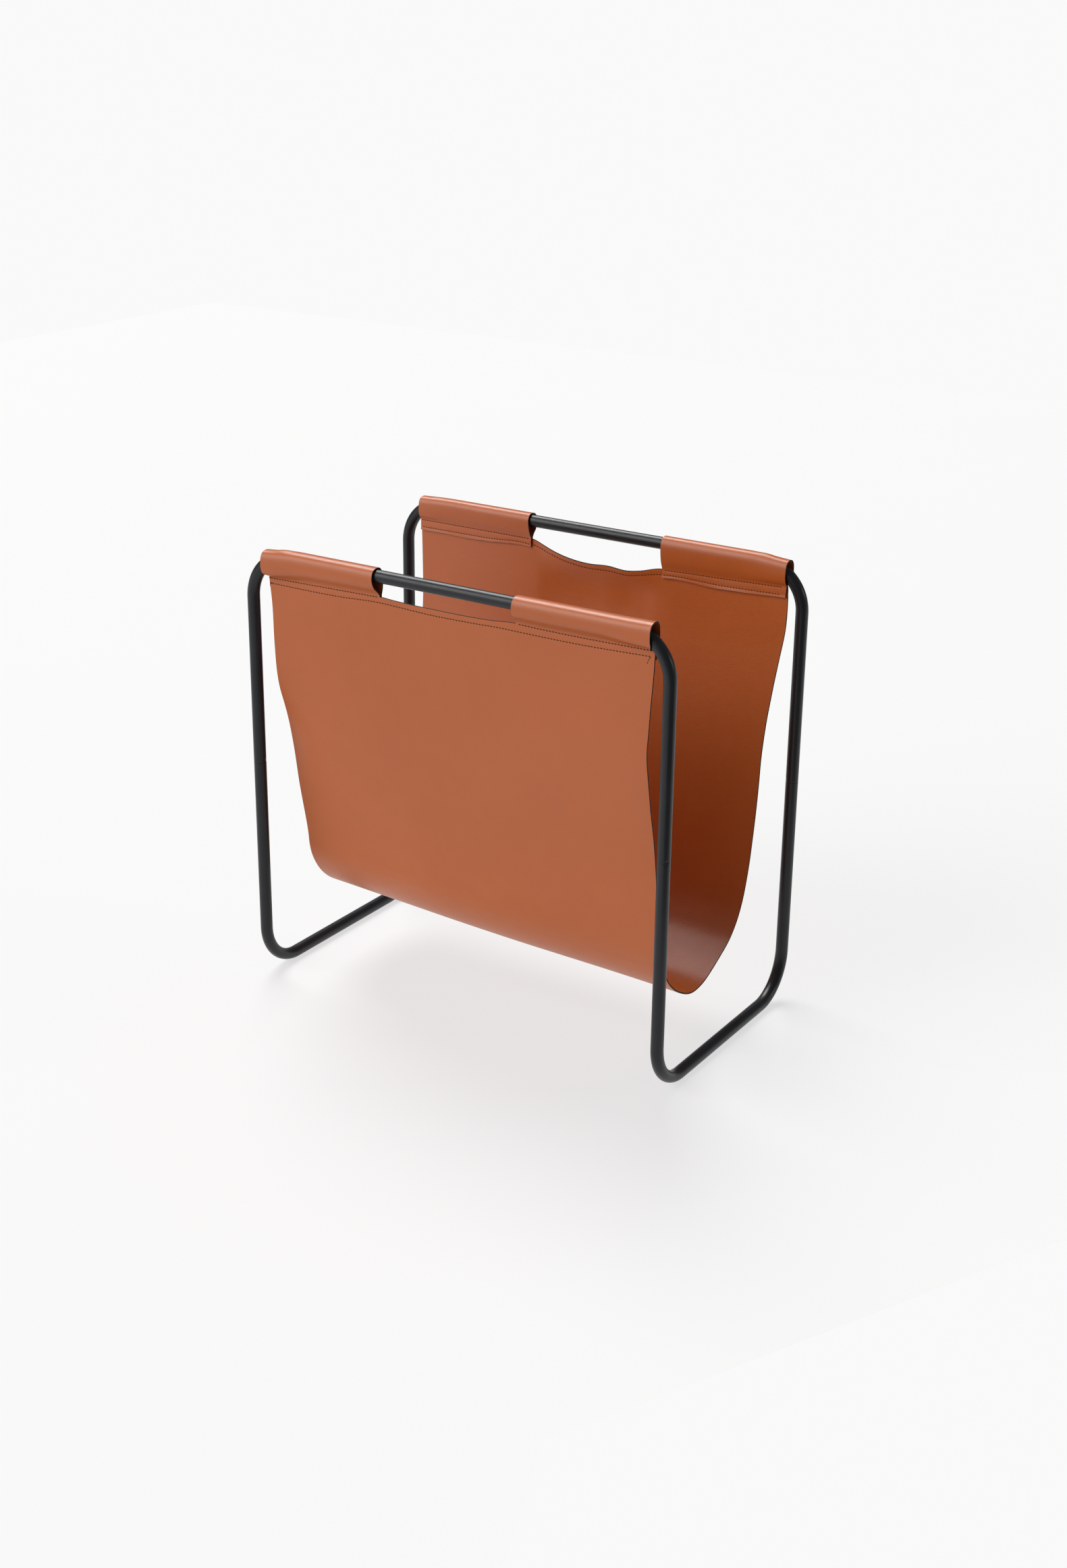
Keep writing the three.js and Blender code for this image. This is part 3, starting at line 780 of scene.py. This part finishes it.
def stitch_row(name, x_from, x_to, heights, side, face, flap_at=None, tails=()):
    """One row of stitches. face is 1 on the sheet's outer face and -1 on its pocket side. flap_at says,
    for each x, whether the row's leather there is the flap. tails are loose ends of thread:
    (x values, heights)."""
    count = int(round(abs(x_to - x_from) / STITCH_PITCH))
    x = np.linspace(x_from, x_to, count + 1)
    z = heights(x)
    holes, normals = np.empty((count + 1, 3)), np.empty((count + 1, 3))
    is_flap = flap_at(x) if flap_at else np.zeros(count + 1, dtype=bool)
    for flap in (False, True):
        here = is_flap == flap
        if here.any():
            holes[here], normals[here] = thread_points(x[here], z[here], side, 1 if flap else face, flap)
    same = is_flap[:-1] == is_flap[1:]
    a, b, normal = holes[:-1][same], holes[1:][same], normals[:-1][same]
    for tail_x, tail_z in tails:
        point, tail_normal = thread_points(np.array(tail_x), np.array(tail_z), side, face, False)
        a, b = np.vstack([a, point[:-1]]), np.vstack([b, point[1:]])
        normal = np.vstack([normal, tail_normal[:-1]])
    return stitches(name, a, b, normal)


def thread_points(x, z, side, face, flap):
    """Points a little under one face of the leather, and the directions away from that face."""
    u, q = on_row(x, z, side, flap)
    point, normal = sheet_frame(u, q, side)
    return point + normal * face * (LEATHER / 2 - THREAD_SINK), normal * face


RING_SIDES = 8
RING_PLACES = np.array([0.0, 0.10, 0.26, 0.5, 0.74, 0.90, 1.0])


def stitches(name, a, b, normal):
    """Short plump threads from each a to its b, sunk into the leather at both ends."""
    along = b - a
    beside = unit(np.cross(normal, along))
    pitch = np.linalg.norm(along, axis=1, keepdims=True)
    gap = (1 - STITCH_LENGTH / pitch) / 2
    slant = 0.16 * beside
    start, end = a + along * gap + slant, b - along * gap - slant
    angle = np.linspace(0, 2 * math.pi, RING_SIDES, endpoint=False)
    rings = []
    for t in RING_PLACES:
        arch = math.sin(math.pi * t) ** 0.5
        radius = THREAD_R * (0.45 + 0.55 * arch)
        centre = start + (end - start) * t + normal * (0.34 * arch - 0.16)
        ring = centre[:, None] + radius * (np.cos(angle)[None, :, None] * beside[:, None]
                                           + np.sin(angle)[None, :, None] * normal[:, None])
        rings.append(ring)
    grid = np.stack(rings, axis=1)  # stitch, ring, side
    count, ring_count, sides, _ = grid.shape
    index = np.arange(count * ring_count * sides).reshape(count, ring_count, sides)
    nxt = np.roll(index, -1, axis=2)
    walls = np.stack([index[:, :-1], nxt[:, :-1], nxt[:, 1:], index[:, 1:]], axis=-1).reshape(-1, 4)
    caps = [list(i[::-1]) for i in index[:, 0]] + [list(i) for i in index[:, -1]]
    return make_piece(name, grid.reshape(-1, 3), [*walls.tolist(), *caps], [waxed_thread])


def build_stitching():
    for side, name in ((-1, "front"), (1, "back")):
        low, high = WINDOW[side]
        def upper(x, side=side):
            return upper_row(x, side)
        def lower(x, side=side):
            return table(LOWER_ROW[side], x)
        def everywhere(x):
            return np.ones(len(x), dtype=bool)
        def in_tab(x, low=low, high=high):
            return (x < low - 0.5) | (x > high + 0.5)
        ends = {"left": (-UPPER_ROW_END, low - ROW_TO_WINDOW),
                "right": (high + ROW_TO_WINDOW, UPPER_ROW_END)}
        for end, (x_from, x_to) in ends.items():
            seam = f"{name}_upper_seam_{end}"
            needle = stitch_row(f"{seam}_needle_stitches", x_from, x_to, upper, side, 1)
            bobbin = stitch_row(f"{seam}_bobbin_stitches", x_from, x_to, upper, side, 1, everywhere)
            stand_for(needle, "seam_thread", f"{seam}_needle_thread")
            stand_for(bobbin, "seam_thread", f"{seam}_bobbin_thread")
        seam = f"{name}_lower_seam"
        tails = FRONT_TAILS if side < 0 else ()
        row = (-LOWER_ROW_END, LOWER_ROW_END, lower, side)
        needle = stitch_row(f"{seam}_needle_stitches", *row, 1, tails=tails)
        bobbin = stitch_row(f"{seam}_bobbin_stitches", *row, -1, in_tab)
        stand_for(needle, "seam_thread", f"{seam}_needle_thread")
        stand_for(bobbin, "seam_thread", f"{seam}_bobbin_thread")


# ---- Studio --------------------------------------------------------------------------------------

BACKDROP_LEVEL = 0.949  # as the camera sees it
AIR_LEVEL = 0.17  # as it lights the rack
FLOOR_GLOW = 0.655  # the floor's own light, which brings it up to the backdrop


def build_floor():
    """A sheet of pale floor, cut away at the right. The backdrop past its edges is about as bright."""
    corners = [(-2600, -2200, 0), (975, -2200, 0), (330, -480, 0), (560, -10, 0), (2600, 500, 0),
               (2600, 2600, 0), (-2600, 2600, 0)]
    floor = make_piece("studio_floor", corners, [(0, 1, 2, 6), (6, 2, 3), (6, 3, 4, 5)], [studio_floor()])


def sun(name, turn, height, spread, strength):
    """A soft light without distance. turn is the direction it comes from, 0 at +Y and 90 at +X."""
    light = bpy.data.lights.new(name, "SUN")
    light.angle = math.radians(spread)
    light.energy = strength
    light.color = (1.0, 0.996, 0.992)
    obj = bpy.data.objects.new(name, light)
    turn, height = math.radians(turn), math.radians(height)
    toward = Vector((math.sin(turn) * math.cos(height), math.cos(turn) * math.cos(height), math.sin(height)))
    obj.rotation_euler = toward.to_track_quat("Z", "Y").to_euler()
    bpy.context.collection.objects.link(obj)


def build_lights():
    sun("back_softbox", 303, 56, 32, 2.75)
    sun("front_softbox", 214, 33, 40, 1.3)
    sun("front_fill", 216, 20, 60, 0.9)
    sun("right_strip", 62, 16, 10, 0.25)
    world = bpy.data.worlds.new("studio_air")
    world.use_nodes = True
    tree = world.node_tree
    seen = tree.nodes["Background"]
    seen.inputs["Color"].default_value = (1, 1, 1, 1)
    seen.inputs["Strength"].default_value = BACKDROP_LEVEL
    air = tree.nodes.new("ShaderNodeBackground")
    air.inputs["Color"].default_value = (1, 1, 1, 1)
    air.inputs["Strength"].default_value = AIR_LEVEL
    path = tree.nodes.new("ShaderNodeLightPath")
    either = tree.nodes.new("ShaderNodeMixShader")
    tree.links.new(path.outputs["Is Camera Ray"], either.inputs["Fac"])
    tree.links.new(air.outputs["Background"], either.inputs[1])
    tree.links.new(seen.outputs["Background"], either.inputs[2])
    tree.links.new(either.outputs["Shader"], tree.nodes["World Output"].inputs["Surface"])
    bpy.context.scene.world = world


# The camera looks down at the rack's middle from the front right.
AIM = np.array([0.0, 0.0, 185.0])
CAMERA_DISTANCE = 1695.3
AIM_OFFSET = (-7.7, 6.0)  # where the aim point sits, right of and above the optical axis
CAMERA_TURN, CAMERA_TILT, CAMERA_ROLL = -32.70, 21.59, 0.67
LENS = 48.44


def rotation(degrees, a, b):
    """Rotation matrix that turns axis a towards axis b."""
    m = np.eye(3)
    c, s = math.cos(math.radians(degrees)), math.sin(math.radians(degrees))
    m[a, a], m[a, b], m[b, a], m[b, b] = c, -s, s, c
    return m


def build_camera():
    turn = rotation(CAMERA_ROLL, 2, 0) @ rotation(CAMERA_TILT, 1, 2) @ rotation(CAMERA_TURN, 0, 1)
    right, forward, up = turn
    place = AIM - AIM_OFFSET[0] * right - AIM_OFFSET[1] * up - CAMERA_DISTANCE * forward
    data = bpy.data.cameras.new("camera")
    data.sensor_width = 36
    data.lens = LENS
    data.clip_end = 1000
    obj = bpy.data.objects.new("camera", data)
    axes = Matrix(np.column_stack([right, up, -forward]).tolist()).to_4x4()
    obj.matrix_world = Matrix.Translation(Vector(place * MM)) @ axes
    bpy.context.collection.objects.link(obj)
    bpy.context.scene.camera = obj


# ---- The scene -----------------------------------------------------------------------------------

coat = powder_coat()
face_leather = leather("sling_face_leather", cross_grain=False)
pocket_leather = leather("sling_pocket_leather", cross_grain=True)
painted_edge = edge_paint()
bare_edge = raw_edge()
waxed_thread = thread()
pin_steel = turned_steel()

build_hoops()
sheet = build_sling()
build_stitching()
for pin in (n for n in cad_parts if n.endswith("_splice_pin")):
    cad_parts[pin].material_slots[0].material = pin_steel

build_floor()
build_lights()
build_camera()
bpy.context.scene.view_settings.view_transform = "Standard"
